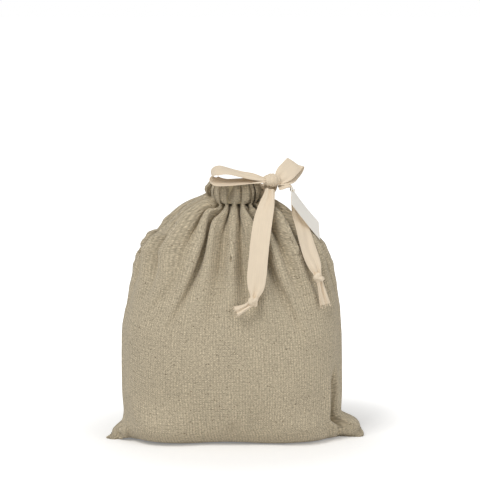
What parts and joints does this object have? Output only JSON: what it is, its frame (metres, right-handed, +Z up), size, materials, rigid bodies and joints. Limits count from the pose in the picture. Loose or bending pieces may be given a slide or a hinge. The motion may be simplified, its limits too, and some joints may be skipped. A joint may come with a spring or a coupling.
{
  "type": "fabric gift sack",
  "caption": "Full cloth drawstring sack standing upright, its gathered mouth closed by a flat tape tied in a bow, with a blank hanging label.",
  "frame": {"origin": "on the floor, under the middle of the sack's width and depth", "axes": "+Z up, the front faces -Y, +X to the right seen from the front"},
  "size_m": [0.2796, 0.1328, 0.3027],
  "materials": {
    "cloth": "natural unbleached plain weave with slubs and flecks",
    "thread": "spun sewing thread",
    "tape": "cream cotton twill tape",
    "label": "matte white card, blank"
  },
  "bodies": {
    "sack": {"front_panel": "cloth", "back_panel": "cloth", "front_casing": "cloth", "back_casing": "cloth", "left_seam_allowance": "cloth", "right_seam_allowance": "cloth", "bottom_seam_allowance": "cloth", "left_overlock_thread": "thread", "right_overlock_thread": "thread", "bottom_overlock_thread": "thread", "front_casing_stitches": "thread", "back_casing_stitches": "thread", "drawstring_run": "tape", "front_lead": "tape", "back_lead": "tape", "bow_knot": "tape"},
    "bow_left": {"left_loop": "tape"},
    "bow_right": {"right_loop": "tape"},
    "tail_left": {"left_tail": "tape", "left_tail_knot": "tape", "left_tail_end": "tape"},
    "tail_right": {"right_tail": "tape", "right_tail_knot": "tape", "right_tail_end": "tape"},
    "tag": {"label": "label", "label_thread": "thread"}
  },
  "joints": [
    {"name": "left_loop_lift", "type": "hinge", "parent": "sack", "child": "bow_left", "pos_m": [0.0265, -0.017, 0.2815], "axis": [0, 1, 0], "range_deg": [0, 70]},
    {"name": "right_loop_flex", "type": "hinge", "parent": "sack", "child": "bow_right", "pos_m": [0.0518, -0.016, 0.283], "axis": [0.7743, -0.1911, -0.6033], "range_deg": [-20, 30], "stiffness_Nm_per_rad": 0.004},
    {"name": "left_tail_swing", "type": "hinge", "parent": "sack", "child": "tail_left", "pos_m": [0.037, -0.0205, 0.272], "axis": [-1, 0, 0], "range_deg": [0, 100]},
    {"name": "right_tail_swing", "type": "hinge", "parent": "sack", "child": "tail_right", "pos_m": [0.046, -0.0165, 0.2727], "axis": [-1, 0, 0], "range_deg": [0, 80]},
    {"name": "label_swing", "type": "hinge", "parent": "tail_right", "child": "tag", "pos_m": [0.0609, -0.015, 0.2705], "axis": [0, -1, 0], "range_deg": [0, 40]}
  ]
}
